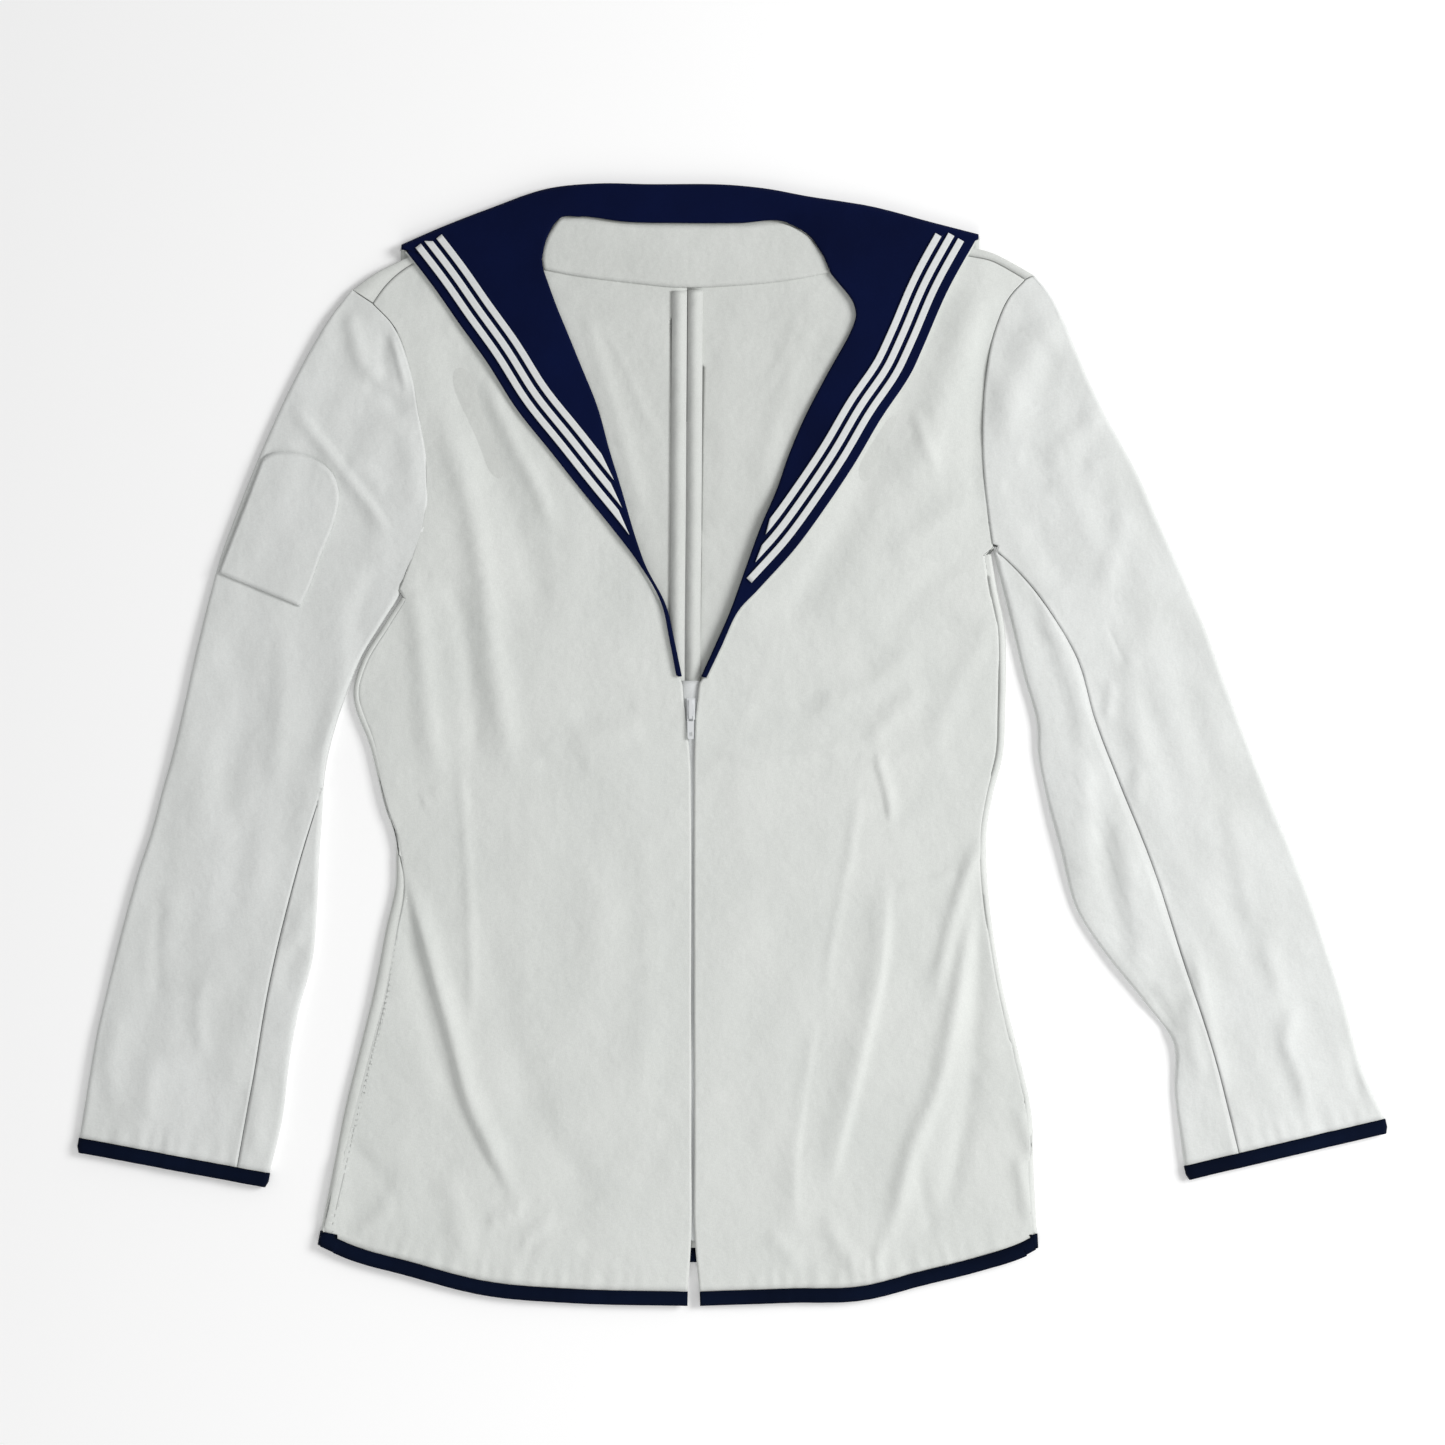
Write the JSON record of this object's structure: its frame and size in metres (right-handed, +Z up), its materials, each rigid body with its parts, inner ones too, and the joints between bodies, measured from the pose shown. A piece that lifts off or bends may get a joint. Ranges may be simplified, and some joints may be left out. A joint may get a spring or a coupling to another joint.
{
  "type": "sailor jumper",
  "caption": "Long-sleeved sailor jumper laid flat, with a wide navy collar, white tapes, a front zip, bound cuffs and hem and a sleeve badge.",
  "frame": {"origin": "middle of the garment's outline, on the surface that it lies on", "axes": "+X to the right of the garment as seen from above, +Y towards the collar, +Z up out of the surface"},
  "size_m": [0.8894, 0.7612, 0.0101],
  "materials": {
    "white_drill": "woven cotton drill, matt with a faint sheen",
    "navy_cotton": "matt woven cotton",
    "white_tape": "flat woven tape, matt",
    "navy_binding": "doubled bias binding, matt",
    "zip_enamel": "pale enamelled metal"
  },
  "bodies": {
    "jumper": {"front_left": "white_drill", "front_right": "white_drill", "back_left": "white_drill", "back_right": "white_drill", "back_allowance_left": "white_drill", "back_allowance_right": "white_drill", "top_sleeve_left": "white_drill", "top_sleeve_right": "white_drill", "under_sleeve_left": "white_drill", "under_sleeve_right": "white_drill", "cuff_binding_left": "navy_binding", "cuff_binding_right": "navy_binding", "hem_binding": "navy_binding", "collar": "navy_cotton", "collar_lining": "white_drill", "collar_tape_left_1": "white_tape", "collar_tape_left_2": "white_tape", "collar_tape_left_3": "white_tape", "collar_tape_right_1": "white_tape", "collar_tape_right_2": "white_tape", "collar_tape_right_3": "white_tape", "neck_band": "white_drill", "zip_tape": "white_tape", "badge": "white_drill", "zip_slider": "zip_enamel"},
    "zip_pull": {"zip_pull": "zip_enamel"}
  },
  "joints": [
    {"name": "zip_pull_hinge", "type": "hinge", "parent": "jumper", "child": "zip_pull", "pos_m": [-0.02814, 0.01988, 0.00721], "axis": [-1, 0, 0], "range_deg": [0, 145]}
  ]
}
